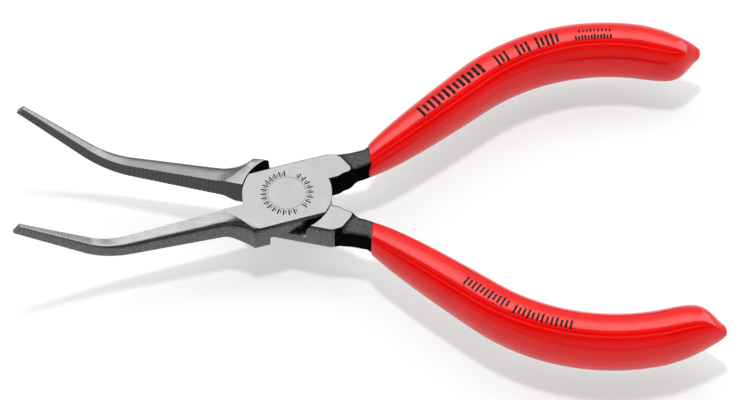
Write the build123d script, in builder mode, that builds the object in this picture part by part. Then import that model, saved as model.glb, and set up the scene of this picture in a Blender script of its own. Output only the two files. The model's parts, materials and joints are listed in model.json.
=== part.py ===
"""Needle nose pliers with bent jaws: two forged halves lap over each other on one flush rivet.

Frame: +Z is the rivet's axis, z = 0 is the head's ground underside, +X runs from the rivet
towards the handles, and the jaws point along -X and bend up. The X axis halves the opening.

Each half is drawn closed, with its gripping face on the XZ plane, and is then swung open by
half of the rest opening. Its side is +1 where its handle lies towards +Y, and -1 where its
handle lies towards -Y. Its jaw is always on the other side from its handle.
"""

import os
from math import cos, degrees, exp, radians, sin

from build123d import *

# Pose
rest_opening = 29.26

# Head
head_thickness = 7.0
head_half_width = 7.2
wall_bulge = 0.8
plate_radius = 9.8
shoulder_gap = 0.3
lap_gap = 0.05

# Rivet
rivet_radius = 3.2
rivet_head_radius = 4.2
rivet_head_height = 1.0
rivet_clearance = 0.05

# Jaw
grip_face_gap = 0.05
flare_corner = 9.6
flare_middle = (12.2, 5.4)
jaw_root = 15.6
jaw_lift = 0.45
jaw_root_height = 5.3
jaw_bend_height = 3.3
jaw_tip_height = 2.5
jaw_root_width = 4.0
jaw_tip_width = 1.1
jaw_corner_share = 0.42
jaw_section_count = 11
foot_overlap = 1.0
top_slope_length = 2.0
bottom_slope_length = 4.0
bend_start = 35.6
bend_radius = 15.0
bend_angle = 40.3
tip_length = 18.7
jaw_overlap = 3.0

# Teeth
tooth_pitch = 1.0
tooth_depth = 0.3
teeth_start = 17.0
teeth_end = 38.0

# Handle root and neck
inner_side = 0.35
root_radius = 16.0
neck_root_centre = (13.0, 4.2)
neck_root_half = (3.3, 2.9)
neck_middle = (16.8, 4.6)
neck_middle_half = (2.6, 2.8)
neck_heading = 10.0

# Handle centreline, from the grip's mouth
mouth = (20.2, 4.8)
straight_heading = 23.8
straight_length = 30.3
handle_radius = 46.3
handle_turn = 50.0
tail_length = 13.3

# Tang, the part of the handle that the grip covers
tang_section_count = 12
tang_mouth_half = (2.4, 2.7)
tang_belly_half = (3.3, 3.5)
tang_end_half = (2.5, 2.6)
tang_corner = 1.4
tang_end_gap = 7.0

# Grip: it swells from its mouth to its belly
grip_section_count = 15
grip_mouth_half = 3.9
grip_belly_half = 5.6
grip_end_half = 5.2
grip_height_ratio = 1.2
grip_belly_at = 55.0
mouth_pinch = 1.0
mouth_pinch_length = 7.0
mouth_cut_heading = -11.0
mouth_overlap = 3.0

# Grip end: distance from the tip, share of the full size, shift to the outer side
grip_end_start = 11.0
grip_end = (
    (8.0, 0.92, -0.3),
    (6.2, 0.85, -0.4),
    (4.4, 0.73, -0.2),
    (2.2, 0.43, 0.75),
    (0.8, 0.25, 1.35),
    (0.0, 0.12, 1.55),
)

mid = head_thickness / 2
shoulder_radius = plate_radius + shoulder_gap
parting_half_width = head_half_width + wall_bulge
reach = root_radius + jaw_root

arc_length = radians(handle_turn) * handle_radius
handle_length = straight_length + arc_length + tail_length
tang_length = handle_length - tang_end_gap

bend_length = radians(bend_angle) * bend_radius
jaw_length = bend_start - jaw_root + bend_length + tip_length


def blend(start, end, share):
    """The value a share of the way from start to end."""
    return start + (end - start) * share


def handle_point(distance):
    """Place and heading on the handle's centreline, a distance from the grip's mouth."""
    along = min(distance, straight_length)
    x = mouth[0] + along * cos(radians(straight_heading))
    y = mouth[1] + along * sin(radians(straight_heading))
    heading = straight_heading
    if distance > straight_length:
        turned = min(distance - straight_length, arc_length) / handle_radius
        heading = straight_heading - degrees(turned)
        x += handle_radius * (sin(radians(straight_heading)) - sin(radians(heading)))
        y += handle_radius * (cos(radians(heading)) - cos(radians(straight_heading)))
    rest = max(distance - straight_length - arc_length, 0)
    x += rest * cos(radians(heading))
    y += rest * sin(radians(heading))
    return x, y, heading


def across_handle(x, y, heading, side):
    """Plane square to the handle: its X is the outward normal, its Y the head's thickness."""
    turn = radians(heading)
    return Plane(
        origin=(x, side * y, mid),
        x_dir=(-sin(turn), side * cos(turn), 0),
        z_dir=(cos(turn), side * sin(turn), 0),
    )


def jaw_point(distance):
    """Distance from the rivet, height and slope of the jaw's centreline, from its root."""
    x = jaw_root + min(distance, bend_start - jaw_root)
    z = mid + jaw_lift
    bent = min(max(distance - (bend_start - jaw_root), 0), bend_length) / bend_radius
    x += bend_radius * sin(bent)
    z += bend_radius * (1 - cos(bent))
    rest = max(distance - (bend_start - jaw_root) - bend_length, 0)
    x += rest * cos(bent)
    z += rest * sin(bent)
    return x, z, degrees(bent)


def across_jaw(distance, side):
    """Plane square to the jaw: its X points away from the gripping face, its Y along it."""
    x, z, slope = jaw_point(distance)
    turn = radians(slope)
    return Plane(
        origin=(-x, -side * grip_face_gap, z),
        x_dir=(0, -side, 0),
        z_dir=(-cos(turn), 0, sin(turn)),
    )


def jaw_size(distance):
    """Height and width of the jaw, a distance from its root."""
    to_bend = jaw_length - tip_length
    if distance < to_bend:
        height = blend(jaw_root_height, jaw_bend_height, distance / to_bend)
    else:
        height = blend(jaw_bend_height, jaw_tip_height, (distance - to_bend) / tip_length)
    return height, blend(jaw_root_width, jaw_tip_width, distance / jaw_length)


def tang_half(distance):
    """Half width and half height of the tang, a distance from the grip's mouth."""
    if distance < grip_belly_at:
        share = distance / grip_belly_at
        return [blend(a, b, share) for a, b in zip(tang_mouth_half, tang_belly_half)]
    share = (distance - grip_belly_at) / (tang_length - grip_belly_at)
    return [blend(a, b, share) for a, b in zip(tang_belly_half, tang_end_half)]


def grip_half(distance):
    """Half width of the grip: pinched at its mouth, widest at its belly."""
    if distance < grip_belly_at:
        half = blend(grip_belly_half, grip_mouth_half, (1 - distance / grip_belly_at) ** 2)
        return half - mouth_pinch * exp(-distance / mouth_pinch_length)
    share = (distance - grip_belly_at) / (handle_length - grip_belly_at)
    return blend(grip_belly_half, grip_end_half, share**2)


def stations(length, count):
    """Evenly spaced distances from 0 to length."""
    return [length * step / (count - 1) for step in range(count)]


def oblong(plane, half):
    """Rounded oblong section of the neck or tang."""
    with BuildSketch(plane) as section:
        RectangleRounded(2 * half[0], 2 * half[1], tang_corner)
    return section.sketch


def tang_sections(side):
    """Sections of the neck and tang, from inside the handle root to the tang's blind end."""
    sections = [
        oblong(across_handle(*neck_root_centre, 0, side), neck_root_half),
        oblong(across_handle(*neck_middle, neck_heading, side), neck_middle_half),
    ]
    for distance in stations(tang_length, tang_section_count):
        plane = across_handle(*handle_point(distance), side)
        sections.append(oblong(plane, tang_half(distance)))
    return sections


def grip_section(distance, share, shift, side):
    """Oval section of the grip, shrunk to a share of its size and shifted outwards."""
    half_width = share * grip_half(distance)
    with BuildSketch(across_handle(*handle_point(distance), side)) as section:
        with Locations((shift, 0)):
            Ellipse(half_width, half_width * grip_height_ratio)
    return section.sketch


def plate_level(side):
    """Bottom and top of a half's own lap plate: side +1 laps over the other half."""
    if side > 0:
        return mid + lap_gap / 2, head_thickness
    return 0, mid - lap_gap / 2


def other_level(side):
    """Bottom and top of the space that the other half's lap plate turns in."""
    if side > 0:
        return 0, mid + lap_gap / 2
    return mid - lap_gap / 2, head_thickness


def lap_plate(side):
    """Flat round-ended plate of one half, drafted along its two free sides."""
    low, high = plate_level(side)
    ground = high if side > 0 else low
    with BuildPart() as plate:
        with BuildSketch(Plane.YZ.offset(-plate_radius)):
            with BuildLine():
                Polyline(
                    (-head_half_width, ground),
                    (head_half_width, ground),
                    (parting_half_width, mid),
                    (-parting_half_width, mid),
                    close=True,
                )
            make_face()
        extrude(amount=2 * plate_radius)
        with BuildSketch(Plane.XY.offset(low)):
            Circle(plate_radius)
        extrude(amount=high - low, mode=Mode.INTERSECT)
    return plate


def rivet_outline(clearance):
    """Half section of the rivet, from its axis out, grown by a clearance."""
    waist = rivet_radius + clearance
    rim = rivet_head_radius + clearance
    with BuildSketch(Plane.XZ) as outline:
        with BuildLine():
            Polyline(
                (0, 0),
                (rim, 0),
                (waist, rivet_head_height),
                (waist, head_thickness - rivet_head_height),
                (rim, head_thickness),
                (0, head_thickness),
                close=True,
            )
        make_face()
    return outline.sketch


def jaw_root_outline(side):
    """Jaw root at the parting plane, from inside the plate to the foot of the jaw."""
    inside = -plate_radius / 2
    with BuildSketch() as outline:
        with BuildLine():
            flare = ThreePointArc(
                (-flare_corner, -side * parting_half_width),
                (-flare_middle[0], -side * flare_middle[1]),
                (-jaw_root, -side * jaw_root_width),
            )
            Polyline(
                flare @ 1,
                (-jaw_root, 2 * side * wall_bulge),
                (inside, 2 * side * wall_bulge),
                (inside, -side * parting_half_width),
                flare @ 0,
            )
        make_face()
    return outline.sketch


def handle_root_outline(side):
    """Handle root at the parting plane, from inside the plate to its round end."""
    with BuildSketch() as outline:
        Circle(root_radius)
        with Locations((plate_radius / 2, side * inner_side)):
            Rectangle(
                root_radius,
                parting_half_width - inner_side,
                align=(Align.MIN, Align.MIN if side > 0 else Align.MAX),
                mode=Mode.INTERSECT,
            )
    return outline.sketch


def forged_half(side):
    """One forged half, closed: jaw root and jaw, lap plate, handle root, neck and tang."""
    with BuildPart() as half:
        # Jaw root and handle root, drafted both ways from the parting plane.
        for outline in (jaw_root_outline(side), handle_root_outline(side)):
            for ground in (0, head_thickness):
                with BuildSketch(Plane.XY.offset(mid)):
                    add(outline)
                with BuildSketch(Plane.XY.offset(ground)):
                    offset(outline, amount=-wall_bulge, kind=Kind.INTERSECTION)
                loft()

        # The gripping face of the jaw root is flat and square.
        with BuildSketch(Plane.XY):
            with Locations((0, -side * grip_face_gap)):
                Rectangle(
                    jaw_root * 2,
                    parting_half_width,
                    align=(Align.MAX, Align.MIN if side > 0 else Align.MAX),
                )
        extrude(amount=head_thickness, mode=Mode.SUBTRACT)

        # The head slims to the jaw's height over the flare.
        jaw_top = mid + jaw_lift + jaw_root_height / 2
        jaw_bottom = mid + jaw_lift - jaw_root_height / 2
        with BuildSketch(Plane.XZ.offset(-reach)):
            with BuildLine():
                Polyline(
                    (-jaw_root - foot_overlap, head_thickness),
                    (-jaw_root + top_slope_length, head_thickness),
                    (-jaw_root, jaw_top),
                    (-jaw_root - foot_overlap, jaw_top),
                    close=True,
                )
            make_face()
            with BuildLine():
                Polyline(
                    (-jaw_root - foot_overlap, 0),
                    (-jaw_root + bottom_slope_length, 0),
                    (-jaw_root, jaw_bottom),
                    (-jaw_root - foot_overlap, jaw_bottom),
                    close=True,
                )
            make_face()
        extrude(amount=2 * reach, mode=Mode.SUBTRACT)

        # Room for the other half's lap plate.
        low, high = other_level(side)
        with BuildSketch(Plane.XY.offset(low)):
            Circle(shoulder_radius)
        extrude(amount=high - low, mode=Mode.SUBTRACT)

        add(lap_plate(side).part)
        revolve(rivet_outline(0 if side > 0 else rivet_clearance), Axis.Z, mode=Mode.SUBTRACT)

        # Jaw.
        for distance in [-jaw_overlap] + stations(jaw_length, jaw_section_count):
            height, width = jaw_size(distance)
            with BuildSketch(across_jaw(distance, side)) as section:
                Rectangle(width, height, align=(Align.MIN, Align.CENTER))
                outer = section.vertices().group_by(Axis.X)[-1]
                fillet(outer, width * jaw_corner_share)
        loft()

        # Neck and tang.
        loft(tang_sections(side))

        # Grooves across the gripping face.
        groove_count = round((teeth_end - teeth_start) / tooth_pitch) + 1
        with BuildSketch(Plane.XY):
            with Locations((-(teeth_start + teeth_end) / 2, -side * grip_face_gap)):
                with GridLocations(tooth_pitch, tooth_pitch, groove_count, 1):
                    RegularPolygon(tooth_depth, 4)
        extrude(amount=2 * head_thickness, mode=Mode.SUBTRACT)
    return half


def dipped_grip(side):
    """One plastic grip, closed: cut off across at its mouth, and blunt with a tip behind."""
    body = stations(handle_length - grip_end_start, grip_section_count)
    with BuildPart() as grip:
        sections = [grip_section(d, 1, 0, side) for d in [-mouth_overlap] + body]
        for from_tip, share, shift in grip_end:
            sections.append(grip_section(handle_length - from_tip, share, shift, side))
        loft(sections)
        split(bisect_by=across_handle(*mouth, mouth_cut_heading, side), keep=Keep.TOP)
        loft(tang_sections(side), mode=Mode.SUBTRACT)
    return grip


def swung_open(closed, side):
    """A finished piece of one half, turned about the rivet to the rest opening."""
    with BuildPart() as piece:
        add(closed.part, rotation=(0, 0, side * rest_opening / 2))
    return piece


upper_half = swung_open(forged_half(1), 1)
upper_half.part.label = "upper_half"

lower_half = swung_open(forged_half(-1), -1)
lower_half.part.label = "lower_half"

upper_grip = swung_open(dipped_grip(1), 1)
upper_grip.part.label = "upper_grip"

lower_grip = swung_open(dipped_grip(-1), -1)
lower_grip.part.label = "lower_grip"

with BuildPart() as rivet:
    revolve(rivet_outline(0), Axis.Z)
rivet.part.label = "rivet"

os.makedirs("parts", exist_ok=True)
export_step(upper_half.part, "parts/upper_half.step")
export_step(lower_half.part, "parts/lower_half.step")
export_step(upper_grip.part, "parts/upper_grip.step")
export_step(lower_grip.part, "parts/lower_grip.step")
export_step(rivet.part, "parts/rivet.step")
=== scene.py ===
"""Looks of the bent needle nose pliers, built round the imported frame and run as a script."""

import json
import math

import bmesh
import bpy
import numpy as np
from mathutils import Matrix, Vector


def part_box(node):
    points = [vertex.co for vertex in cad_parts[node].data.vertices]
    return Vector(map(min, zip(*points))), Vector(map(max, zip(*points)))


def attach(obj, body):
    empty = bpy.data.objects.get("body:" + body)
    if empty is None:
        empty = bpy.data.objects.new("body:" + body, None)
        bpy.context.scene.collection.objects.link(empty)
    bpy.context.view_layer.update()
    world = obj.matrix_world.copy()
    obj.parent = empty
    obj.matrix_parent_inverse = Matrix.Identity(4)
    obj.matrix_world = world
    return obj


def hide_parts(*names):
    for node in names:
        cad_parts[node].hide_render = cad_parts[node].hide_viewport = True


bl_info = {
    "name": "Bent Nose Pliers",
    "version": (1, 0, 0),
    "blender": (4, 5, 0),
    "location": "View3D > Sidebar > Pliers",
    "description": "Builds forged halves, rivet, dipped grips, marks and stage for the pliers",
    "category": "Object",
}

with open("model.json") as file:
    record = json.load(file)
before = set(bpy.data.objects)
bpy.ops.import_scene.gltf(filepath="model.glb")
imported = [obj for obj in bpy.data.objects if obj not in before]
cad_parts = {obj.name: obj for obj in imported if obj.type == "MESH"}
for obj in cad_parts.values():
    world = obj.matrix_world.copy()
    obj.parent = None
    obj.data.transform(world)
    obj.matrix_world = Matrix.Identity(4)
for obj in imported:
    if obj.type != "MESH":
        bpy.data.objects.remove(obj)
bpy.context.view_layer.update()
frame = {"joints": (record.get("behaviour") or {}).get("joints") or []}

MM = 0.001
HINGE = frame["joints"][0]
HALF_OPENING = math.radians(-HINGE["range_deg"][0]) / 2
HEAD_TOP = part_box("rivet")[1].z / MM
MID = HEAD_TOP / 2
RIVET_HEAD_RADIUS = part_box("rivet")[1].x / MM
HALVES = (("upper", 1, "upper_lever"), ("lower", -1, "lower_lever"))
# Slots of the four materials; the black oxide slot also paints shade on the shoulder walls.
FORGED, GROUND, TEETH, OXIDE_AND_SHADE = 0, 1, 2, 3
PANEL_BRIGHTNESS = 5.0
FLOOR_GLOW = 0.45
FLOOR_DROP = 0.006


def size(name, text, default):
    """A length that a user may change, in millimetres."""
    return bpy.props.FloatProperty(name=name, description=text, default=default, min=0.0)


def degrees(name, text, default):
    """An angle that a user may change, its default given in degrees."""
    return bpy.props.FloatProperty(
        name=name, description=text, default=math.radians(default), subtype="ANGLE"
    )


def colour(name, text, default):
    """A surface colour that a user may change."""
    return bpy.props.FloatVectorProperty(
        name=name, description=text, default=default, size=4, subtype="COLOR", min=0, max=1
    )


class HeadSizes(bpy.types.PropertyGroup):
    """Sizes of the lapped head, in millimetres and degrees."""

    plate_radius: size("Plate radius", "Radius of the lap plate's round ends", 9.8)
    shoulder_radius: size("Shoulder radius", "Radius of the hollow the plate turns in", 10.1)
    half_width: size("Half width", "Half width of the head at its ground faces", 7.2)
    parting_half_width: size("Parting half width", "Half width at the parting plane", 8.0)
    lap_gap: size("Lap gap", "Gap between the two lap plates", 0.05)
    root_start: size("Root start", "How far inside the plate the roots begin", 4.0)
    flare_corner: size("Flare corner", "Where the head begins to slim towards the jaw", 9.6)
    flare_reach: size("Flare reach", "How far the flare's middle lies past its corner", 2.6)
    face_end_turn: degrees("Face end turn", "Heading of the line that ends the face", 23.3)
    face_end_reach: size("Face end reach", "Distance from the rivet to that line", 14.75)
    face_side_turn: degrees("Face side turn", "Heading of the line that bevels its side", 48.3)
    face_side_reach: size("Face side reach", "Distance from the rivet to that line", 13.4)
    jaw_face_end: size("Jaw face end", "Where the ground face ends at the gripping edge", 14.5)
    inner_side: size("Inner side", "Inner side of the handle root at the parting plane", 0.35)
    hole_chamfer: size("Hole chamfer", "Chamfer round the flush rivet", 0.04)


class JawSizes(bpy.types.PropertyGroup):
    """Sizes of the jaws, in millimetres and degrees."""

    root: size("Root", "Distance from the rivet to the foot of the jaw", 15.6)
    lift: size("Lift", "Height of the jaw's centre over the parting plane", 0.45)
    root_height: size("Root height", "Height of the jaw at its foot", 5.3)
    bend_height: size("Bend height", "Height of the jaw after its bend", 3.3)
    tip_height: size("Tip height", "Height of the jaw at its tip", 2.5)
    root_width: size("Root width", "Width of one jaw at its foot", 4.0)
    tip_width: size("Tip width", "Width of one jaw at its tip", 1.1)
    bend_start: size("Bend start", "Distance from the rivet to the bend", 35.6)
    bend_radius: size("Bend radius", "Radius of the bend", 15.0)
    bend_angle: degrees("Bend angle", "How far the tips turn up", 40.3)
    tip_length: size("Tip length", "Straight length after the bend", 18.7)
    face_gap: size("Face gap", "Distance from a gripping face to the closing plane", 0.05)
    tooth_pitch: size("Tooth pitch", "Spacing of the grooves across the gripping face", 1.0)
    tooth_depth: size("Tooth depth", "Depth of the grooves", 0.1)
    teeth_start: size("Teeth start", "Distance from the rivet to the first groove", 14.6)
    fine_pitch: size("Fine pitch", "Spacing of the crossed grooves at the tip", 0.8)
    fine_depth: size("Fine depth", "Depth of the crossed grooves at the tip", 0.09)
    top_fall: size("Top fall", "Slope of the jaw's top towards its outer side", 0.05)


class HandleSizes(bpy.types.PropertyGroup):
    """Sizes of the handles and grips, in millimetres and degrees."""

    mouth_x: size("Mouth X", "Distance from the rivet to the grip's mouth", 20.2)
    mouth_y: size("Mouth Y", "Offset of the grip's mouth from the closing plane", 4.8)
    heading: degrees("Heading", "Direction of the straight part of the handle", 23.8)
    straight: size("Straight", "Length of the straight part of the handle", 30.3)
    radius: size("Radius", "Radius of the handle's curve", 46.3)
    turn: degrees("Turn", "Turn of the handle's curve", 50.0)
    tail: size("Tail", "Straight length after the curve", 13.3)
    neck_x: size("Neck X", "Distance from the rivet to the neck's middle", 16.8)
    neck_y: size("Neck Y", "Offset of the neck's middle from the closing plane", 4.6)
    neck_half: size("Neck half width", "Half width of the neck's middle", 2.65)
    neck_rise: size("Neck half height", "Half height of the neck", 2.9)
    tang_end_gap: size("Tang end gap", "Distance from the tang's end to the grip's end", 7.0)
    mouth_half: size("Mouth half width", "Half width of the grip at its mouth", 3.9)
    belly_half: size("Belly half width", "Half width of the grip at its belly", 5.6)
    end_half: size("End half width", "Half width of the grip near its end", 5.2)
    height_ratio: size("Height ratio", "Height of the grip over its width", 1.2)
    belly_at: size("Belly place", "Distance from the mouth to the belly", 55.0)
    lip: size("Lip", "Rounding of the grip's mouth", 0.3)
    pinch: size("Pinch", "How much narrower the grip is at its mouth", 1.0)
    pinch_length: size("Pinch length", "Distance over which the pinch fades", 7.0)
    cut_turn: degrees("Cut turn", "How far the mouth is cut off from square", 34.8)
    cut_fade: size("Cut fade", "Distance over which the slanted rings turn square", 9.0)


class Finishes(bpy.types.PropertyGroup):
    """Colours of the surfaces."""

    plastic: colour("Plastic", "Dipped grip plastic", (0.46, 0.0008, 0.0006, 1))
    ground: colour("Ground steel", "Ground faces of the head", (0.19, 0.19, 0.187, 1))
    forged: colour("Forged steel", "Sides of the head and jaws", (0.11, 0.11, 0.107, 1))
    # Lighter colour of up-facing tops: brushed steel and painted highlight.
    satin_and_highlight: colour("Satin steel", "Brushed tops of the jaws", (0.152, 0.152, 0.15, 1))
    # Black oxide of the necks, also painted as shade on the shoulder walls.
    oxide: colour("Black oxide", "Sides of the necks", (0.0015, 0.0015, 0.0015, 1))
    # Painted highlight: lighter colour of the necks' up-facing tops.
    painted_top_light: colour("Rubbed oxide", "Tops of the necks", (0.045, 0.045, 0.045, 1))
    teeth: colour("Teeth", "Darkened gripping faces", (0.06, 0.06, 0.058, 1))
    print_ink: colour("Print ink", "Ink of the printed marks", (0.008, 0.003, 0.003, 1))
    stamp: colour("Stamp", "Bottom of the stamped marks", (0.012, 0.012, 0.012, 1))
    floor: colour("Floor", "Studio floor", (0.17, 0.17, 0.17, 1))


# Mesh helpers


def new_object(name, mesh):
    """An object at the origin that holds the mesh."""
    piece = bpy.data.objects.new(name, mesh)
    bpy.context.scene.collection.objects.link(piece)
    return piece


def loft(name, rings, material_index=None):
    """Closed mesh over rings of points in millimetres, with flat caps.

    The material indices are those of one row of faces, the same all along.
    """
    rings = np.asarray(rings, float)
    count, around, _ = rings.shape
    faces = []
    for row in range(0, (count - 1) * around, around):
        for j in range(around):
            k = (j + 1) % around
            faces.append((row + j, row + k, row + around + k, row + around + j))
    faces.append(tuple(range(around))[::-1])
    faces.append(tuple(range((count - 1) * around, count * around)))
    indices = (material_index or [FORGED] * around) * (count - 1) + [FORGED, FORGED]
    mesh = bpy.data.meshes.new(name)
    mesh.from_pydata((rings.reshape(-1, 3) * MM).tolist(), [], faces)
    mesh.polygons.foreach_set("material_index", indices)
    outward(mesh)
    return mesh


def outward(mesh):
    """Turn every face outwards."""
    shell = bmesh.new()
    shell.from_mesh(mesh)
    bmesh.ops.remove_doubles(shell, verts=shell.verts, dist=1e-7)
    bmesh.ops.recalc_face_normals(shell, faces=shell.faces)
    shell.to_mesh(mesh)
    shell.free()


def box_mesh(name, low, high, material):
    """Box between two corners in millimetres."""
    x0, y0, z0 = low
    x1, y1, z1 = high
    rings = [[(x, y0, z0), (x, y1, z0), (x, y1, z1), (x, y0, z1)] for x in (x0, x1)]
    mesh = loft(name, rings)
    mesh.polygons.foreach_set("material_index", [material] * len(mesh.polygons))
    return mesh


def arc(radius, z, angles):
    """Points at the angles on a circle about Z."""
    return [(radius * math.cos(a), radius * math.sin(a), z) for a in angles]


def cylinder_mesh(name, profile, around=192):
    """Solid of revolution about Z from (radius, z) pairs in millimetres."""
    angles = np.linspace(0, 2 * math.pi, around, endpoint=False)
    return loft(name, [arc(radius, z, angles) for radius, z in profile])


def with_modifiers(piece):
    """New mesh of a piece with its modifiers' effect."""
    depsgraph = bpy.context.evaluated_depsgraph_get()
    return bpy.data.meshes.new_from_object(piece.evaluated_get(depsgraph))


def combine(target, tool_mesh, operation, materials):
    """Join, cut or trim the target with another closed mesh, and keep the result."""
    for material in materials:
        if material.name not in tool_mesh.materials:
            tool_mesh.materials.append(material)
    tool = new_object("boolean_tool", tool_mesh)
    modifier = target.modifiers.new("shape", "BOOLEAN")
    modifier.operation = operation
    modifier.solver = "EXACT"
    modifier.object = tool
    modifier.material_mode = "INDEX"
    old, result = target.data, with_modifiers(target)
    target.modifiers.remove(modifier)
    target.data = result
    bpy.data.meshes.remove(old)
    bpy.data.objects.remove(tool)
    bpy.data.meshes.remove(tool_mesh)


def smooth_shade(mesh, angle):
    """Smooth faces with crisp edges above an angle."""
    mesh.polygons.foreach_set("use_smooth", [True] * len(mesh.polygons))
    mesh.set_sharp_from_angle(angle=math.radians(angle))


def swing(mesh, side):
    """Turn a closed half's mesh to its side of the rest opening."""
    mesh.transform(Matrix.Rotation(side * HALF_OPENING, 4, "Z"))


def blend_value(start, end, share):
    """Straight blend between two values."""
    return start + (end - start) * share


def ease(low, high, value):
    """Smooth step from 0 at low to 1 at high."""
    share = min(max((value - low) / (high - low), 0.0), 1.0)
    return share * share * (3 - 2 * share)


def section(count, power):
    """Offsets out and up round a section whose half width and half height are 1."""
    angles = (2 * math.pi * j / count for j in range(count))
    return [(squarish(math.cos(a), power), squarish(math.sin(a), power)) for a in angles]


def squarish(share, power):
    """A sine or cosine that makes a squarer section the smaller the power is."""
    return math.copysign(abs(share) ** power, share)


def step_out(x, y, heading, out):
    """Place at an offset to the left of a heading."""
    return x - out * math.sin(heading), y + out * math.cos(heading)


def set_inputs(node, **values):
    """Set a shader node's sockets by name, with underscores for spaces."""
    for name, value in values.items():
        node.inputs[name.replace("_", " ")].default_value = value


def feed(links, socket, value):
    """Give a socket a value of its own, or link another node's output to it."""
    if isinstance(value, bpy.types.NodeSocket):
        links.new(value, socket)
    else:
        socket.default_value = value


# Materials


def shade(base, factor):
    """A colour made darker or lighter."""
    return tuple(min(c * factor, 1.0) for c in base[:3]) + (1.0,)


class Shader:
    """A node material under construction."""

    def __init__(self, name, **values):
        self.material = bpy.data.materials.new(name)
        self.material.use_nodes = True
        self.nodes = self.material.node_tree.nodes
        self.links = self.material.node_tree.links
        self.surface = self.nodes["Principled BSDF"]
        set_inputs(self.surface, **values)
        self.place = self.nodes.new("ShaderNodeTexCoord")

    def noise(self, scale, detail=4.0, roughness=0.55, stretch=(1, 1, 1)):
        """Noise over the object's own coordinates."""
        mapping = self.nodes.new("ShaderNodeMapping")
        set_inputs(mapping, Scale=stretch)
        self.links.new(self.place.outputs["Object"], mapping.inputs["Vector"])
        noise = self.nodes.new("ShaderNodeTexNoise")
        set_inputs(noise, Scale=scale, Detail=detail, Roughness=roughness)
        self.links.new(mapping.outputs["Vector"], noise.inputs["Vector"])
        return noise.outputs["Fac"]

    def spread(self, value, low, high, from_low=0.3, from_high=0.7):
        """Map a value's middle range to low and high."""
        node = self.nodes.new("ShaderNodeMapRange")
        set_inputs(node, From_Min=from_low, From_Max=from_high, To_Min=low, To_Max=high)
        self.links.new(value, node.inputs["Value"])
        return node.outputs["Result"]

    def mix(self, factor, first, second, kind="MIX", data="RGBA"):
        """Mix two colours or numbers, each given as a value or a socket."""
        node = self.nodes.new("ShaderNodeMix")
        node.data_type = data
        node.blend_type = kind
        sockets = (s for s in node.inputs if s.enabled)
        for socket, value in zip(sockets, (factor, first, second)):
            feed(self.links, socket, value)
        return next(s for s in node.outputs if s.enabled)

    def tones(self, value, base, dark, bright):
        """One colour, from darker to brighter with a value."""
        return self.mix(self.spread(value, 0, 1), shade(base, dark), shade(base, bright))

    def attribute(self, name):
        """Value painted on the mesh."""
        node = self.nodes.new("ShaderNodeAttribute")
        node.attribute_name = name
        return node.outputs["Fac"]

    def painted_top_light(self, lit_top_mask, value, sides, tops):
        """A value spread over one range on the sides and another on the up-facing tops that carry
        painted light.
        """
        ends = (self.spread(value, *span) for span in (sides, tops))
        return self.mix(lit_top_mask, *ends, data="FLOAT")

    def bump(self, height, strength, distance, below=None):
        """Bump from a height, over an earlier bump if one is given."""
        node = self.nodes.new("ShaderNodeBump")
        set_inputs(node, Strength=strength, Distance=distance)
        self.links.new(height, node.inputs["Height"])
        if below is not None:
            self.links.new(below, node.inputs["Normal"])
        return node.outputs["Normal"]

    def finish(self, **sockets):
        """Link outputs to the surface's sockets by name, and give the material."""
        for name, output in sockets.items():
            self.links.new(output, self.surface.inputs[name.replace("_", " ")])
        return self.material


def dipped_plastic(finishes):
    """Glossy dipped plastic with a faint ripple and uneven tone."""
    s = Shader("dipped_red_plastic", IOR=1.38)
    return s.finish(
        Base_Color=s.tones(s.noise(90, 3), finishes.plastic, 0.93, 1.05),
        Roughness=s.spread(s.noise(700, 3), 0.1, 0.14),
        Normal=s.bump(s.noise(110, 2), 0.05, 0.0006),
    )


def ground_steel(finishes, name="ground_steel", turn=(1.0, 14.0, 1.0)):
    """Satin ground steel with fine grinding lines."""
    s = Shader(name, Metallic=1.0)
    lines = s.noise(900, 4, 0.6, turn)
    base = s.tones(s.noise(220, 4), finishes.ground, 0.9, 1.05)
    streaks = s.mix(lines, shade(finishes.ground, 0.7), shade(finishes.ground, 1.3))
    return s.finish(
        Base_Color=s.mix(0.35, base, streaks),
        Roughness=s.spread(lines, 0.3, 0.42),
        Normal=s.bump(lines, 0.10, 0.00004),
    )


def forged_steel(finishes):
    """Satin speckled steel, darker on its sides, brushed and painted brighter where it faces up
    as a painted highlight.
    """
    s = Shader("forged_steel", Metallic=1.0)
    lit_top_mask = s.attribute("lit_top_mask")
    grain = s.noise(2600, 3, 0.7)
    cloud = s.noise(260, 4, 0.6)
    lines = s.noise(700, 3, 0.6, (0.25, 6.0, 1.0))
    # Painted highlight: faces that look up get the lighter brushed colour, the sides the darker
    # speckled one.
    wall = s.tones(grain, finishes.forged, 0.5, 1.6)
    top = s.tones(lines, finishes.satin_and_highlight, 0.82, 1.1)
    base = s.mix(lit_top_mask, wall, top)
    tone = s.tones(cloud, (1, 1, 1, 1), 0.86, 1)
    return s.finish(
        Base_Color=s.mix(1.0, base, tone, "MULTIPLY"),
        Roughness=s.painted_top_light(lit_top_mask, grain, (0.22, 0.32), (0.15, 0.23)),
        Normal=s.bump(grain, 0.14, 0.00006, s.bump(cloud, 0.08, 0.0002)),
    )


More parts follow.
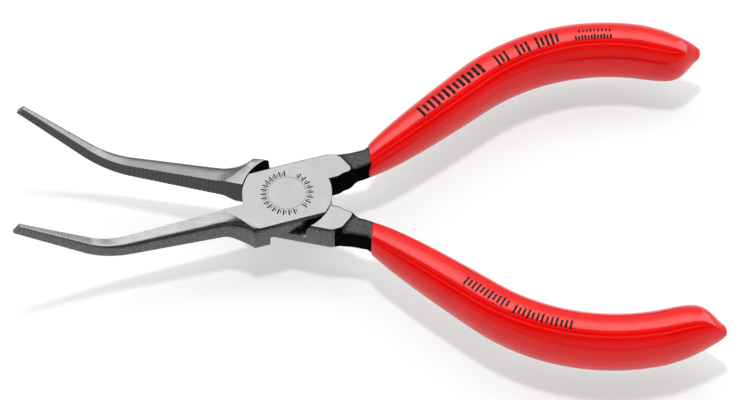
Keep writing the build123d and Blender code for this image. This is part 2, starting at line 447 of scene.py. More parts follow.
def oxide_and_painted_light(finishes):
    """Black oxide of the necks, speckled, also painted as shade on the shoulder walls, and
    painted lighter and more metallic where it faces up as painted light.
    """
    s = Shader("oxide_and_painted_light", IOR=1.04)
    lit_top_mask = s.attribute("lit_top_mask")
    grain = s.noise(2200, 3, 0.75)
    speck = s.spread(grain, 0.0, 1.0, 0.38, 0.66)
    # Painted highlight: the up-facing tops get a lighter speckled colour.
    painted_top_light = s.mix(speck, shade(finishes.painted_top_light, 0.5), shade(finishes.painted_top_light, 1.5))
    return s.finish(
        # The up-facing mask swaps the black sides for the painted-light tops in colour,
        # metalness, roughness and shine.
        Base_Color=s.mix(lit_top_mask, finishes.oxide, painted_top_light),
        Metallic=s.painted_top_light(lit_top_mask, grain, (0.0, 0.02), (0.75, 0.95)),
        Roughness=s.painted_top_light(lit_top_mask, grain, (0.42, 0.55), (0.4, 0.55)),
        Specular_IOR_Level=s.painted_top_light(lit_top_mask, grain, (0.1, 0.2), (0.3, 0.4)),
        Normal=s.bump(grain, 0.3, 0.00008),
    )


def toothed_steel(finishes):
    """Dark gripping face, speckled darker and brighter."""
    s = Shader("toothed_steel", Metallic=1.0)
    grain = s.noise(2200, 4, 0.7)
    return s.finish(
        Base_Color=s.tones(grain, finishes.teeth, 0.6, 1.5),
        Roughness=s.spread(grain, 0.35, 0.55),
        Normal=s.bump(grain, 0.25, 0.00006),
    )


def mark_finish(name, base, metallic, rough):
    """Thin dark mark, a little uneven like ink or a stamp's bottom."""
    s = Shader(name, Metallic=metallic, IOR=1.15)
    grain = s.noise(1800, 3)
    return s.finish(
        Base_Color=s.tones(grain, base, 0.7, 1.6),
        Roughness=s.spread(grain, rough, rough + 0.15),
    )


def floor_finish(finishes):
    """Plain pale studio floor that glows a little, with a barely visible tooth."""
    s = Shader("studio_floor", Emission_Color=(1, 1, 1, 1), Emission_Strength=FLOOR_GLOW)
    fine = s.noise(60, 3)
    return s.finish(
        Base_Color=s.tones(fine, finishes.floor, 0.995, 1),
        Roughness=s.spread(fine, 0.6, 0.7),
    )


# Forged halves


def circle_through(first, second, third):
    """Centre and radius of the circle through three points."""
    (ax, ay), (bx, by), (cx, cy) = first, second, third
    d = 2 * (ax * (by - cy) + bx * (cy - ay) + cx * (ay - by))
    a, b, c = ax * ax + ay * ay, bx * bx + by * by, cx * cx + cy * cy
    x = (a * (by - cy) + b * (cy - ay) + c * (ay - by)) / d
    y = (a * (cx - bx) + b * (ax - cx) + c * (bx - ax)) / d
    return x, y, math.hypot(ax - x, ay - y)


def bent_path(distance, x, y, heading, straight, radius, turn, sign):
    """Place and heading along a straight, an arc and the straight after it.

    The arc turns by the angle turn, to the left for a sign of 1 and to the right for -1.
    """
    along = min(distance, straight)
    turned = min(max(distance - straight, 0), turn * radius) / radius
    rest = max(distance - straight - turn * radius, 0)
    end = heading + sign * turned
    x += along * math.cos(heading) + rest * math.cos(end)
    y += along * math.sin(heading) + rest * math.sin(end)
    x += sign * radius * (math.sin(end) - math.sin(heading))
    y += sign * radius * (math.cos(heading) - math.cos(end))
    return x, y, end


def crown(share, power):
    """Height of a crowned section, as a share of its rise, at a share of its half width."""
    return max(1 - share**power, 0) ** (1 / power)


def crown_rise(head):
    """Rise of the uncut crown whose width at the ground faces is the head's own."""
    return MID / crown(head.half_width / head.parting_half_width, Jaw.power)


class Jaw:
    """Shape of one jaw and jaw root along its centreline.

    Spans are millimetres along the jaw over which a height settles. The top's is from the ground
    face's slanted end, and the others are from the jaw's foot.
    """

    power = 6.0
    face_rows = 14
    outer_rows = 60
    lift_span = (-5, -1)
    top_span = (-3.4, 2.1)
    top_slant = 0.49
    bottom_span = (-5.4, -0.2)
    root_end = -8.0
    plain_tip = 0.3

    def __init__(self, head, jaw):
        self.head, self.jaw = head, jaw
        self.bend_at = jaw.bend_start - jaw.root
        self.length = self.bend_at + jaw.bend_angle * jaw.bend_radius + jaw.tip_length
        self.root_rise = crown_rise(head)
        corner = (head.flare_corner, head.parting_half_width)
        middle = (corner[0] + head.flare_reach, corner[1] - head.flare_reach)
        self.flare = circle_through(corner, middle, (jaw.root, jaw.root_width))

    def centre(self, distance):
        """Distance from the rivet, height and slope at a distance from the jaw's foot."""
        jaw, height = self.jaw, MID + self.lift(distance)
        bend = (self.bend_at, jaw.bend_radius, jaw.bend_angle, 1)
        return bent_path(distance, jaw.root, height, 0, *bend)

    def lift(self, distance):
        """Height of the centreline over the parting plane before the bend."""
        return self.jaw.lift * ease(*self.lift_span, distance)

    def width(self, distance):
        """Width of the jaw, flaring into the head over a hollow arc."""
        jaw, head = self.jaw, self.head
        if distance >= 0:
            return blend_value(jaw.root_width, jaw.tip_width, distance / self.length)
        x = jaw.root + distance
        if x <= head.flare_corner:
            return head.parting_half_width
        cx, cy, radius = self.flare
        return cy - math.sqrt(max(radius**2 - (x - cx) ** 2, 0))

    def half_height(self, distance):
        """Half height of the jaw."""
        jaw = self.jaw
        tip_start = self.length - jaw.tip_length
        if distance < tip_start:
            share = max(distance, 0) / tip_start
            return blend_value(jaw.root_height, jaw.bend_height, share) / 2
        share = (distance - tip_start) / jaw.tip_length
        return blend_value(jaw.bend_height, jaw.tip_height, share) / 2

    def above(self, distance, out):
        """Rise over the centreline at an offset from the gripping face."""
        past = self.jaw.root + distance + self.top_slant * out - self.head.jaw_face_end
        half = self.half_height(distance) - self.jaw.top_fall * out * ease(0, 6, past)
        settled = ease(*self.top_span, past)
        return blend_value(self.root_rise - self.lift(distance), half, settled)

    def below(self, distance):
        """Depth under the centreline."""
        root = self.root_rise + self.lift(distance)
        settled = ease(*self.bottom_span, distance)
        return blend_value(root, self.half_height(distance), settled)

    def groove(self, distance, height):
        """Depth of the teeth at a place on the gripping face."""
        jaw = self.jaw
        start = jaw.teeth_start - jaw.root
        if distance < start or distance > self.length - self.plain_tip:
            return 0.0
        coarse = abs((distance / jaw.tooth_pitch) % 1 - 0.5) * 2
        crossed = max(
            abs(((distance + lean * height) / jaw.fine_pitch) % 1 - 0.5) * 2
            for lean in (1, -1)
        )
        fine_share = ease(self.bend_at - 2, self.bend_at + 7, distance)
        coarse_depth = jaw.tooth_depth * (1 - fine_share) * max(coarse * 2 - 1, 0)
        return coarse_depth + jaw.fine_depth * fine_share * crossed

    def rings(self, side):
        """Rings from inside the plate to the tip."""
        step = self.jaw.tooth_pitch / 4
        stations = [self.head.root_start - self.jaw.root]
        stations += list(np.arange(self.root_end, self.length, step)) + [self.length]
        angles = np.linspace(math.pi / 2, -math.pi / 2, self.outer_rows)
        rings = []
        for distance in stations:
            x, z, slope = self.centre(distance)
            width = self.width(distance)
            top, bottom = self.above(distance, 0), self.below(distance)
            ring = []
            for share in np.linspace(0, 1, self.face_rows, endpoint=False):
                height = blend_value(-bottom, top, share)
                ring.append((self.groove(distance, height), height))
            for angle in angles[:-1]:
                out = width * max(math.cos(angle), 0) ** (2 / self.power)
                lift = abs(math.sin(angle)) ** (2 / self.power)
                up = lift * self.above(distance, out) if angle > 0 else -lift * bottom
                if angle == angles[0]:
                    out = self.groove(distance, up)
                ring.append((out, up))
            rings.append([
                (-x + up * math.sin(slope),
                 -side * (self.jaw.face_gap + out),
                 z + up * math.cos(slope))
                for out, up in ring
            ])
        return rings

    def mesh(self, side):
        """Closed mesh of the jaw and its root."""
        around = self.face_rows + self.outer_rows - 1
        material = [TEETH if j < self.face_rows else FORGED for j in range(around)]
        return loft("jaw", self.rings(side), material)


class Handle:
    """Centreline, tang and grip of one handle.

    The tang's pairs are its half width and half height. The end's keys are distances from the
    grip's tip, with its width there as a share and its middle's shift off the centreline.
    """

    power = 4.5
    neck_rows = 70
    tang_mouth = (2.5, 2.9)
    tang_belly = (3.3, 3.5)
    tang_rows = 60
    tang_around = 88
    grip_power = 0.9
    grip_around = 128
    end_rows = 60
    end_length = 12
    end_from_tip = (0.0, 0.25, 0.7, 1.3, 2.2, 3.3, 4.5, 6.6, 8.0, 11.8, 14.0)
    end_share = (0.0, 0.16, 0.25, 0.35, 0.51, 0.67, 0.79, 0.9, 0.94, 0.99, 1.0)
    end_shift = (1.55, 1.53, 1.4, 1.15, 0.6, 0.0, -0.35, -0.45, -0.35, -0.1, 0.0)

    def __init__(self, head, handle):
        self.head, self.handle = head, handle
        self.length = handle.straight + handle.turn * handle.radius + handle.tail

    def point(self, distance):
        """Place and heading at a distance from the grip's mouth."""
        h = self.handle
        bend = (h.straight, h.radius, h.turn, -1)
        return bent_path(distance, h.mouth_x, h.mouth_y, h.heading, *bend)

    def root_frames(self):
        """Sections of the handle root and neck: place, heading, half width, half height."""
        h, head = self.handle, self.head
        root_y = (head.inner_side + head.parting_half_width) / 2
        root_half = (head.parting_half_width - head.inner_side) / 2
        wall = head.parting_half_width - head.half_width
        rise = MID / crown((root_half - wall) / root_half, self.power)
        keys_x = (head.root_start, 11.6, 13.6, h.neck_x, h.mouth_x)
        keys_y = (root_y, root_y, root_y + 0.1, h.neck_y, h.mouth_y)
        keys_half = (root_half, root_half, root_half - 0.5, h.neck_half, self.tang_mouth[0])
        frames = []
        for x in np.linspace(head.root_start, h.mouth_x, self.neck_rows)[:-1]:
            y = smooth_through(keys_x, keys_y, x)
            heading = blend_value(0, h.heading, ease(13, h.mouth_x + 3, x))
            frames.append((x, y, heading, smooth_through(keys_x, keys_half, x), rise))
        return frames

    def tang_rings(self, side):
        """Rings of the handle root, neck and tang."""
        head, h = self.head, self.handle
        frames = self.root_frames()
        tang = self.length - h.tang_end_gap
        for distance in np.linspace(0, tang, self.tang_rows):
            share = min(distance / h.belly_at, 1)
            closing = math.sqrt(max(1 - ease(tang - 3, tang + 0.4, distance) ** 2, 0))
            width, height = (
                blend_value(a, b, share) * closing
                for a, b in zip(self.tang_mouth, self.tang_belly)
            )
            frames.append((*self.point(distance), width, height))
        rings = []
        for x, y, heading, half, rise in frames:
            ring = []
            for out, up in section(self.tang_around, 2 / self.power):
                px, py = step_out(x, y, heading, half * out)
                high = rise
                if x < h.mouth_x:
                    drop = ease(-0.5, 1.3, distance_from_face(head, px, py))
                    high = blend_value(rise, h.neck_rise, drop)
                ring.append((px, side * py, MID + high * up))
            rings.append(ring)
        return rings

    def grip_half(self, distance):
        """Half width of the grip at a distance from its mouth."""
        h = self.handle
        if distance < h.belly_at:
            share = (1 - distance / h.belly_at) ** 2
            pinch = h.pinch * math.exp(-distance / h.pinch_length)
            return blend_value(h.belly_half, h.mouth_half, share) - pinch
        share = (distance - h.belly_at) / (self.length - h.belly_at)
        return blend_value(h.belly_half, h.end_half, share**2)

    def grip_ring(self, distance, side, inset=0.0):
        """One ring of the grip's skin, slanted near the mouth and closing near the end."""
        h = self.handle
        from_tip = max(self.length - distance, 0)
        share = max(curve_through(self.end_from_tip, self.end_share, from_tip), 0.004)
        shift = curve_through(self.end_from_tip, self.end_shift, from_tip)
        slant = math.tan(h.cut_turn) * (1 - ease(0, h.cut_fade, distance))
        ring = []
        for j in range(self.grip_around):
            angle = 2 * math.pi * j / self.grip_around
            c, s = math.cos(angle), math.sin(angle)
            place = distance + slant * (self.grip_half(distance) * share * c)
            half = self.grip_half(place) * share
            out = shift + (half - inset) * squarish(c, self.grip_power)
            up = (half * h.height_ratio - inset) * squarish(s, self.grip_power)
            x, y = step_out(*self.point(place), out)
            ring.append((x, side * y, MID + up))
        return ring

    def grip_rings(self, side):
        """Rings of the grip from inside its mouth to its tip, closer together near the tip."""
        lip = self.handle.lip
        mouth_inset = 1.2
        rings = [self.grip_ring(lip * 1.2, side, mouth_inset)]
        for angle in np.linspace(-math.pi / 2, 0, 7):
            inset = lip * (1 - math.cos(angle))
            rings.append(self.grip_ring(lip * (1 + math.sin(angle)), side, inset))
        for distance in np.arange(0.7, self.length - self.end_length, 0.5):
            rings.append(self.grip_ring(distance, side))
        for share in np.linspace(0, 1, self.end_rows):
            from_tip = self.end_length * (1 - share) ** 1.6
            rings.append(self.grip_ring(self.length - from_tip, side))
        return rings

    def skin_place(self, distance, around, side):
        """Point on the grip's skin and its outward and along directions."""
        x, y, heading = self.point(distance)
        half = self.grip_half(distance)
        tall = half * self.handle.height_ratio
        c, s = math.cos(around), math.sin(around)
        out = half * squarish(c, self.grip_power)
        up = tall * squarish(s, self.grip_power)
        point = Vector((*step_out(x, y, heading, out), MID + up))
        normal = Vector((-math.sin(heading) * c / half, math.cos(heading) * c / half, s / tall))
        along = Vector((math.cos(heading), math.sin(heading), 0))
        for vector in (point, normal, along):
            vector.y *= side
        return point, normal.normalized(), along


def smooth_through(keys, values, x):
    """Value at x on an eased path through the keys."""
    for low, high, start, end in zip(keys, keys[1:], values, values[1:]):
        if x <= high:
            return blend_value(start, end, ease(low, high, x))
    return values[-1]


def curve_through(keys, values, x):
    """Value at x on a curve through the keys with no corner at any of them."""
    x = min(max(x, keys[0]), keys[-1])
    index = min(int(np.searchsorted(keys, x, side="right")) - 1, len(keys) - 2)
    slopes = np.gradient(values, keys)
    step = keys[index + 1] - keys[index]
    t = (x - keys[index]) / step
    start = values[index] * (1 + 2 * t) + step * slopes[index] * t
    end = values[index + 1] * (3 - 2 * t) - step * slopes[index + 1] * (1 - t)
    return float(start * (1 - t) ** 2 + end * t**2)


def distance_from_face(head, x, y):
    """How far a place lies past the lines that end the ground face at the neck."""
    if x < head.plate_radius:
        return -head.plate_radius
    ends = (
        (head.face_end_turn, head.face_end_reach),
        (head.face_side_turn, head.face_side_reach),
    )
    return max(x * math.cos(turn) + y * math.sin(turn) - reach for turn, reach in ends)


def plate_mesh(head, side):
    """Closed mesh of one half's own lap plate, with crowned sides."""
    gap = head.lap_gap / 2
    low, high = (MID + gap, HEAD_TOP) if side > 0 else (0.0, MID - gap)
    rise = crown_rise(head)
    rings = []
    for z in np.linspace(low, high, 9):
        wall = head.parting_half_width * crown(abs(z - MID) / rise, Jaw.power)
        corner = math.asin(wall / head.plate_radius)
        right = arc(head.plate_radius, z, np.linspace(-corner, corner, 48))
        rings.append(right + [(-x, -y, z) for x, y, _ in right])
    mesh = loft("plate", rings)
    for face in mesh.polygons:
        if abs(face.normal.z) > 0.9:
            face.material_index = GROUND
    return mesh


def forged_half(side, scene, materials):
    """One forged half: raw forging, ground faces, shoulder, lap plate and rivet hole."""
    head, jaw, handle = scene.pliers_head, scene.pliers_jaw, scene.pliers_handle
    name = "upper_forging" if side > 0 else "lower_forging"
    piece = new_object(name, Jaw(head, jaw).mesh(side))
    for material in materials:
        piece.data.materials.append(material)
    joined = bmesh.new()
    joined.from_mesh(piece.data)
    handle_mesh = loft("handle", Handle(head, handle).tang_rings(side))
    joined.from_mesh(handle_mesh)
    joined.to_mesh(piece.data)
    joined.free()
    bpy.data.meshes.remove(handle_mesh)

    front, reach = 0.2 - jaw.root, 18.0
    for low, high in ((HEAD_TOP, HEAD_TOP + 6), (-6, 0)):
        cutter = box_mesh("grinding", (front, -reach, low), (reach, reach, high), GROUND)
        combine(piece, cutter, "DIFFERENCE", materials)
    gap = head.lap_gap / 2
    low, high = (-2, MID + gap) if side > 0 else (MID - gap, HEAD_TOP + 2)
    ends = ((head.shoulder_radius, low), (head.shoulder_radius, high))
    combine(piece, cylinder_mesh("shoulder", ends), "DIFFERENCE", materials)
    combine(piece, plate_mesh(head, side), "UNION", materials)
    rim, chamfer = RIVET_HEAD_RADIUS, head.hole_chamfer
    past = 0.5
    hole = (
        (rim + chamfer + past, -past), (rim, chamfer),
        (rim, HEAD_TOP - chamfer), (rim + chamfer + past, HEAD_TOP + past),
    )
    combine(piece, cylinder_mesh("rivet_hole", hole), "DIFFERENCE", materials)
    finish_surfaces(piece.data, head, side)
    swing(piece.data, side)
    smooth_shade(piece.data, 28)
    return piece


def finish_surfaces(mesh, head, side):
    """Give the neck and the walls that face the other half their black oxide, paint shade in
    black oxide on the shoulder walls, and keep how far each point faces up as a mask for the
    painted light on tops.
    """
    shoulder_play, wall_play, face_play = 0.08, 0.4, 0.1
    for face in mesh.polygons:
        x, y, _ = face.center / MM
        reach = math.hypot(x, y)
        inward = face.normal.x * x + face.normal.y * y < -0.7 * reach
        # Painted shade: the walls of the shoulder's hollow get the black oxide because they lie
        # in shade.
        if inward and abs(reach - head.shoulder_radius) < shoulder_play:
            face.material_index = OXIDE_AND_SHADE
        if face.material_index != FORGED or x < head.shoulder_radius:
            continue
        inner_wall = face.normal.y * side < -0.4
        out = min(side * y, head.half_width - wall_play)
        if inner_wall or distance_from_face(head, x, out) > -face_play:
            face.material_index = OXIDE_AND_SHADE
    facing = [Vector() for _ in mesh.vertices]
    for face in mesh.polygons:
        if face.material_index in (FORGED, OXIDE_AND_SHADE):
            for index in face.vertices:
                facing[index] += face.normal * face.area
    # Mask of how far each point faces up; the steel finishes paint light on the tops with it.
    lit_top_mask = mesh.attributes.new("lit_top_mask", "FLOAT", "POINT")
    lit_top_mask.data.foreach_set("value", [ease(0.72, 0.93, v.normalized().z) for v in facing])


# Repeated marks


def marks_tree(name, material):
    """Geometry Nodes tree that stands one mark on every point of a guide mesh."""
    tree = bpy.data.node_groups.new(name, "GeometryNodeTree")
    face = tree.interface
    face.new_socket("Geometry", in_out="INPUT", socket_type="NodeSocketGeometry")
    sizes = {"Length": 0.001, "Width": 0.0004, "Thickness": 0.0001}
    for label, default in sizes.items():
        socket = face.new_socket(label, in_out="INPUT", socket_type="NodeSocketFloat")
        socket.default_value = default
    face.new_socket("Geometry", in_out="OUTPUT", socket_type="NodeSocketGeometry")
    nodes, links = tree.nodes, tree.links
    start, end = nodes.new("NodeGroupInput"), nodes.new("NodeGroupOutput")
    bar = nodes.new("GeometryNodeMeshCube")
    extent = nodes.new("ShaderNodeCombineXYZ")
    for axis, label in zip("XYZ", sizes):
        links.new(start.outputs[label], extent.inputs[axis])
    links.new(extent.outputs["Vector"], bar.inputs["Size"])
    stand = nodes.new("GeometryNodeInstanceOnPoints")
    links.new(start.outputs["Geometry"], stand.inputs["Points"])
    links.new(bar.outputs["Mesh"], stand.inputs["Instance"])
    for label, socket in (("turn", "Rotation"), ("stretch", "Scale")):
        column = nodes.new("GeometryNodeInputNamedAttribute")
        column.data_type = "FLOAT_VECTOR"
        set_inputs(column, Name=label)
        links.new(column.outputs["Attribute"], stand.inputs[socket])
    realize = nodes.new("GeometryNodeRealizeInstances")
    paint = nodes.new("GeometryNodeSetMaterial")
    set_inputs(paint, Material=material)
    chain = (stand, realize, paint, end)
    for before, after in zip(chain, chain[1:]):
        links.new(before.outputs[0], after.inputs["Geometry"])
    return tree


def marks_piece(name, places, sizes, material):
    """Marks at (point, turn, stretch) places, realized to a plain mesh."""
    guide = bpy.data.meshes.new(name)
    guide.from_pydata([place for place, _, _ in places], [], [])
    for label, column in (("turn", 1), ("stretch", 2)):
        attribute = guide.attributes.new(label, "FLOAT_VECTOR", "POINT")
        for index, place in enumerate(places):
            attribute.data[index].vector = place[column]
    piece = new_object(name, guide)
    tree = marks_tree(name + "_nodes", material)
    modifier = piece.modifiers.new("marks", "NODES")
    modifier.node_group = tree
    for socket in tree.interface.items_tree:
        if socket.name in sizes:
            modifier[socket.identifier] = sizes[socket.name]
    plain = with_modifiers(piece)
    piece.modifiers.remove(modifier)
    piece.data = plain
    bpy.data.meshes.remove(guide)
    return piece


def print_row(handle, side, start, end, count, tall, thick, around):
    """Tiles of a row of bars laid on the grip's skin, each bar a chain of short tiles.

    The bars stand from start to end along the grip, at an angle in degrees around it.
    """
    tile, overlap = 0.3, 1.04
    places = []
    for index, distance in enumerate(np.linspace(start, end, count)):
        height = tall * (1.0, 0.7, 0.9)[index % 3]
        radius = handle.grip_half(distance) * handle.handle.height_ratio
        tiles = max(int(height / tile), 1)
        for offset in np.linspace(-height / 2, height / 2, 2 * tiles + 1)[1::2]:
            angle = math.radians(around) + offset / radius
            point, normal, along = handle.skin_place(distance, angle, side)
            across = normal.cross(along)
            turn = Matrix((along, across, normal)).transposed().to_euler()
            places.append((point * MM, turn, (thick, height / tiles * overlap, 1.0)))
    return places


# Operators


class PLIERS_OT_forgings(bpy.types.Operator):
    """Build both forged halves with their jaws, lap plates and tangs"""

    bl_idname = "pliers.forgings"
    bl_label = "Forged Halves"

    def execute(self, context):
        finishes = context.scene.pliers_finishes
        materials = [
            forged_steel(finishes), ground_steel(finishes), toothed_steel(finishes),
            oxide_and_painted_light(finishes),
        ]
        for label, side, body in HALVES:
            piece = forged_half(side, context.scene, materials)
            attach(piece, body)
            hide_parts(label + "_half")
        return {"FINISHED"}


class PLIERS_OT_rivet(bpy.types.Operator):
    """Build the flush rivet"""

    bl_idname = "pliers.rivet"
    bl_label = "Rivet"

    def execute(self, context):
        scene = context.scene
        chamfer = scene.pliers_head.hole_chamfer
        clearance, middle = 0.01, 0.01
        rim = RIVET_HEAD_RADIUS - clearance
        profile = (
            (middle, 0), (rim - chamfer, 0), (rim, chamfer),
            (rim, HEAD_TOP - chamfer), (rim - chamfer, HEAD_TOP), (middle, HEAD_TOP),
        )
        piece = new_object("flush_rivet", cylinder_mesh("flush_rivet", profile))
        piece.data.materials.append(
            ground_steel(scene.pliers_finishes, "rivet_steel", (6.0, 6.0, 1.0))
        )
        smooth_shade(piece.data, 28)
        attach(piece, "upper_lever")
        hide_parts("rivet")
        return {"FINISHED"}


class PLIERS_OT_grips(bpy.types.Operator):
    """Build both dipped grips"""

    bl_idname = "pliers.grips"
    bl_label = "Dipped Grips"

    def execute(self, context):
        scene = context.scene
        material = dipped_plastic(scene.pliers_finishes)
        handle = Handle(scene.pliers_head, scene.pliers_handle)
        for label, side, body in HALVES:
            piece = new_object(label + "_dipped_grip", loft("grip", handle.grip_rings(side)))
            piece.data.materials.append(material)
            swing(piece.data, side)
            smooth_shade(piece.data, 50)
            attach(piece, body)
            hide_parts(label + "_grip")
        return {"FINISHED"}


class PLIERS_OT_stamps(bpy.types.Operator):
    """Build the ring of plain stamped ticks round the rivet"""

    bl_idname = "pliers.stamps"
    bl_label = "Stamped Ring"

    def execute(self, context):
        finishes = context.scene.pliers_finishes
        material = mark_finish("stamped_mark", finishes.stamp, 1.0, 0.5)
        ring_radius = 5.15
        spans = ((98, 196, 9), (210, 290, 7), (-40, 60, 8))
        strokes = ((-2.4, 1.0, 1.3), (3.2, 0.6, 0.8))
        places = []
        for start, end, count in spans:
            for middle in np.linspace(start, end, count):
                for offset, tall, thick in strokes:
                    turn = math.radians(middle + offset)
                    radius = (ring_radius - 0.3 * (1 - tall)) * MM
                    point = (radius * math.cos(turn), radius * math.sin(turn), HEAD_TOP * MM)
                    places.append((point, (0, 0, turn), (tall, thick, 1.0)))
        sizes = {"Length": 1.35 * MM, "Width": 0.24 * MM, "Thickness": 0.02 * MM}
        piece = marks_piece("stamped_ring", places, sizes, material)
        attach(piece, "upper_lever")
        return {"FINISHED"}


class PLIERS_OT_prints(bpy.types.Operator):
    """Build the plain printed bars on both grips"""

    bl_idname = "pliers.prints"
    bl_label = "Printed Bars"

    def execute(self, context):
        scene = context.scene
        material = mark_finish("print_ink", scene.pliers_finishes.print_ink, 0.0, 0.35)
        handle = Handle(scene.pliers_head, scene.pliers_handle)
        rows = {
            "upper": (
                (15.2, 32.4, 13, 3.1, 0.85, 87), (36.6, 39.0, 3, 3.3, 0.55, 92),
                (42.0, 44.4, 3, 3.3, 0.55, 91), (46.8, 51.4, 5, 3.3, 0.55, 90),
                (56.6, 63.4, 9, 0.9, 0.36, 84), (55.6, 63.6, 12, 1.3, 0.42, 99),
            ),
            "lower": ((25.4, 36.0, 11, 2.2, 0.45, 88), (38.0, 50.4, 13, 2.2, 0.45, 84)),
        }
        for label, side, body in HALVES:
            places = []
            for row in rows[label]:
                places += print_row(handle, side, *row)
            sizes = {"Length": 1.0 * MM, "Width": 1.0 * MM, "Thickness": 0.03 * MM}
            piece = marks_piece(label + "_print", places, sizes, material)
            swing(piece.data, side)
            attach(piece, body)
        return {"FINISHED"}


class PLIERS_OT_stage(bpy.types.Operator):
    """Build the floor, lights and camera"""

    bl_idname = "pliers.stage"
    bl_label = "Stage"

    def execute(self, context):
        scene = context.scene
        low = min(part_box("upper_grip")[0].z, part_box("lower_grip")[0].z) - FLOOR_DROP
        span = 3.0
        mesh = bpy.data.meshes.new("studio_floor")
        corners = [(-span, -span, low), (span, -span, low), (span, span, low), (-span, span, low)]
        mesh.from_pydata(corners, [], [(0, 1, 2, 3)])
        mesh.materials.append(floor_finish(scene.pliers_finishes))
        floor = new_object("studio_floor", mesh)
        add_lights(floor)
        add_world()
        add_camera(scene)
        scene.view_settings.view_transform = "Standard"
        return {"FINISHED"}


def soft_light(name, place, width, power):
    """Square soft light aimed at the pliers, which lights but is not mirrored."""
    lamp = bpy.data.lights.new(name, "AREA")
    lamp.shape = "SQUARE"
    lamp.size = width
    lamp.energy = power
    obj = bpy.data.objects.new(name, lamp)
    bpy.context.scene.collection.objects.link(obj)
    obj.location = place
    away = Vector(place) - Vector((0.02, 0, 0))
    obj.rotation_euler = away.to_track_quat("Z", "Y").to_euler()
    obj.visible_glossy = False
    return obj


def add_lights(floor):
    """A small overhead light for the floor's soft shadows and a broad fill in front."""
    key = soft_light("key_light", (0.0, 0.12, 1.4), 0.13, 30)
    lit = bpy.data.collections.new("lit_by_key")
    lit.objects.link(floor)
    key.light_linking.receiver_collection = lit
    soft_light("front_fill", (0.1, -1.1, 0.8), 1.2, 18)


def add_world():
    """Studio surroundings: the ramp's stops and a bright panel at the back right.

    Each stop is a brightness at an angle up from the front horizon and over to the back one.
    """
    world = bpy.data.worlds.new("studio")
    world.use_nodes = True
    nodes, links = world.node_tree.nodes, world.node_tree.links

    def compute(operation, first, second):
        """Math node over two numbers or sockets."""
        node = nodes.new("ShaderNodeMath")
        node.operation = operation
        feed(links, node.inputs[0], first)
        feed(links, node.inputs[1], second)
        return node.outputs["Value"]

    place = nodes.new("ShaderNodeTexCoord")
    split = nodes.new("ShaderNodeSeparateXYZ")
    links.new(place.outputs["Generated"], split.inputs["Vector"])
    front = compute("MULTIPLY", split.outputs["Y"], -1)
    angle = compute("ARCTAN2", split.outputs["Z"], front)
    ramp = nodes.new("ShaderNodeValToRGB")
    links.new(compute("DIVIDE", angle, math.pi), ramp.inputs["Fac"])
    stops = (
        (0, 0.11), (26, 0.11), (50, 0.0), (62, 0.0), (66, 0.2), (70, 0.2), (74, 0.0),
        (84, 0.0), (88, 0.08), (92, 0.08), (99, 0.0),
        (102, 0.85), (114, 1.0), (124, 0.86), (136, 0.42), (150, 0.2), (180, 0.14),
    )
    elements = ramp.color_ramp.elements
    for degree, bright in stops[1:-1]:
        elements.new(degree / 180)
    for element, (degree, bright) in zip(elements, stops):
        element.position = degree / 180
        element.color = (bright, bright, bright, 1)
    side_panel = 1.0
    for axis, low, high in (("X", 0.5, 0.7), ("Z", 0.1, 0.2), ("Y", 0.1, 0.3)):
        edge = nodes.new("ShaderNodeMapRange")
        edge.interpolation_type = "SMOOTHSTEP"
        set_inputs(edge, From_Min=low, From_Max=high)
        links.new(split.outputs[axis], edge.inputs["Value"])
        side_panel = compute("MULTIPLY", side_panel, edge.outputs["Result"])
    panels = nodes.new("ShaderNodeMix")
    panels.data_type = "RGBA"
    set_inputs(panels, B=(0.95, 0.95, 0.95, 1))
    links.new(side_panel, panels.inputs["Factor"])
    links.new(ramp.outputs["Color"], panels.inputs["A"])
    background = nodes["Background"]
    set_inputs(background, Strength=PANEL_BRIGHTNESS)
    links.new(panels.outputs["Result"], background.inputs["Color"])
    bpy.context.scene.world = world


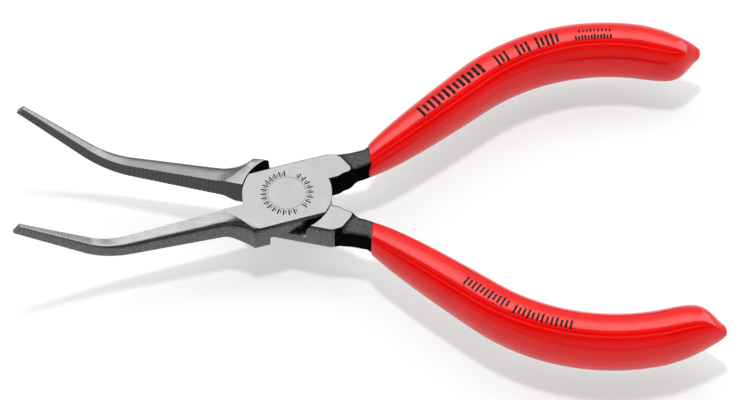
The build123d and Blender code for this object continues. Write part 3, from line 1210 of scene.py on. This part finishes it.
def add_camera(scene):
    """Long lens looking down from the front at a place on the pliers' parting plane."""
    azimuth, elevation, roll = (math.radians(a) for a in (-0.566, 56.3, -1.239))
    distance = 0.7945
    target = Matrix.Translation((0.01896, -0.00021, MID * MM))
    turn = Matrix.Rotation(azimuth, 4, "Z") @ Matrix.Rotation(math.pi / 2 - elevation, 4, "X")
    back = Matrix.Translation((0, 0, distance)) @ Matrix.Rotation(roll, 4, "Z")
    data = bpy.data.cameras.new("camera")
    data.sensor_width = 36
    data.lens = 174.369
    data.clip_start = 0.05
    camera = bpy.data.objects.new("camera", data)
    scene.collection.objects.link(camera)
    camera.matrix_world = target @ turn @ back
    scene.camera = camera


class PLIERS_PT_panel(bpy.types.Panel):
    """Lists the building steps in the sidebar."""

    bl_label = "Bent Nose Pliers"
    bl_idname = "PLIERS_PT_panel"
    bl_space_type = "VIEW_3D"
    bl_region_type = "UI"
    bl_category = "Pliers"

    def draw(self, context):
        for operator in OPERATORS:
            self.layout.operator(operator.bl_idname)
        for group in GROUPS:
            box = self.layout.box()
            settings = getattr(context.scene, group)
            for name in settings.__annotations__:
                box.prop(settings, name)


OPERATORS = (
    PLIERS_OT_stage,
    PLIERS_OT_forgings,
    PLIERS_OT_rivet,
    PLIERS_OT_grips,
    PLIERS_OT_stamps,
    PLIERS_OT_prints,
)
GROUPS = {
    "pliers_head": HeadSizes,
    "pliers_jaw": JawSizes,
    "pliers_handle": HandleSizes,
    "pliers_finishes": Finishes,
}


CLASSES = (*GROUPS.values(), *OPERATORS, PLIERS_PT_panel)


def register():
    """Add the classes and the scene's settings."""
    for each in CLASSES:
        bpy.utils.register_class(each)
    for name, group in GROUPS.items():
        setattr(bpy.types.Scene, name, bpy.props.PointerProperty(type=group))


def unregister():
    """Remove the classes and the scene's settings."""
    for name in GROUPS:
        delattr(bpy.types.Scene, name)
    for each in reversed(CLASSES):
        bpy.utils.unregister_class(each)


def main():
    register()
    bpy.ops.pliers.stage()
    bpy.ops.pliers.forgings()
    bpy.ops.pliers.rivet()
    bpy.ops.pliers.grips()
    bpy.ops.pliers.stamps()
    bpy.ops.pliers.prints()


if __name__ == "__main__":
    main()
